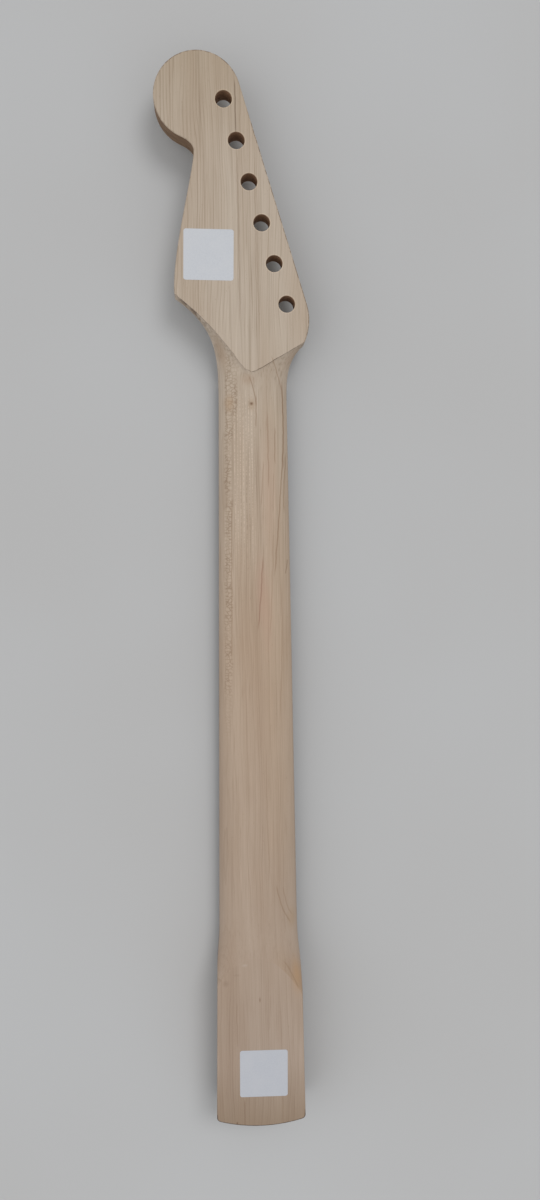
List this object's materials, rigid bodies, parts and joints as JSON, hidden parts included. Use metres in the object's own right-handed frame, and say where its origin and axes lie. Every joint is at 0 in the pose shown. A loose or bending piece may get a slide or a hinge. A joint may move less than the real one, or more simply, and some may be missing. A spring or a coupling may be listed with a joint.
{
  "type": "electric guitar neck",
  "caption": "Unfinished bolt-on electric guitar neck: maple shaft and one-sided headstock with open tuner holes, fretted fingerboard, string nut and adjustable truss rod.",
  "frame": {"origin": "on the centreline of the heel's flat back, 2 mm in from the heel's round end", "axes": "+Z points out of the back of the neck, +Y runs along the neck to the headstock, +X is the bass side, where the tuner holes are"},
  "size_m": [0.0917, 0.6576, 0.0278],
  "materials": {
    "maple": "matte",
    "fingerboard_wood": "satin",
    "fret_wire": "polished",
    "nut_bone": "satin",
    "dot_pearl": "gloss",
    "rod_steel": "satin",
    "adjuster_brass": "satin",
    "label_paper": "matte"
  },
  "bodies": {
    "neck_assembly": {"neck": "maple", "fingerboard": "fingerboard_wood", "string_nut": "nut_bone", "fret_01": "fret_wire", "fret_02": "fret_wire", "fret_03": "fret_wire", "fret_04": "fret_wire", "fret_05": "fret_wire", "fret_06": "fret_wire", "fret_07": "fret_wire", "fret_08": "fret_wire", "fret_09": "fret_wire", "fret_10": "fret_wire", "fret_11": "fret_wire", "fret_12": "fret_wire", "fret_13": "fret_wire", "fret_14": "fret_wire", "fret_15": "fret_wire", "fret_16": "fret_wire", "fret_17": "fret_wire", "fret_18": "fret_wire", "fret_19": "fret_wire", "fret_20": "fret_wire", "fret_21": "fret_wire", "face_dot_03": "dot_pearl", "face_dot_05": "dot_pearl", "face_dot_07": "dot_pearl", "face_dot_09": "dot_pearl", "face_dot_12a": "dot_pearl", "face_dot_12b": "dot_pearl", "face_dot_15": "dot_pearl", "face_dot_17": "dot_pearl", "face_dot_19": "dot_pearl", "face_dot_21": "dot_pearl", "side_dot_03": "dot_pearl", "side_dot_05": "dot_pearl", "side_dot_07": "dot_pearl", "side_dot_09": "dot_pearl", "side_dot_12a": "dot_pearl", "side_dot_12b": "dot_pearl", "side_dot_15": "dot_pearl", "side_dot_17": "dot_pearl", "side_dot_19": "dot_pearl", "side_dot_21": "dot_pearl", "truss_rod_rear_block": "rod_steel", "truss_rod_front_block": "rod_steel", "truss_rod_flat_bar": "rod_steel", "headstock_label": "label_paper", "heel_label": "label_paper"},
    "truss_rod": {"truss_rod_adjuster": "adjuster_brass", "truss_rod_threaded_rod": "rod_steel"}
  },
  "joints": [
    {"name": "truss_rod_turn", "type": "hinge", "parent": "neck_assembly", "child": "truss_rod", "pos_m": [0, 0.4625, -0.013], "axis": [0, 1, 0], "range_deg": [-360, 360]}
  ]
}
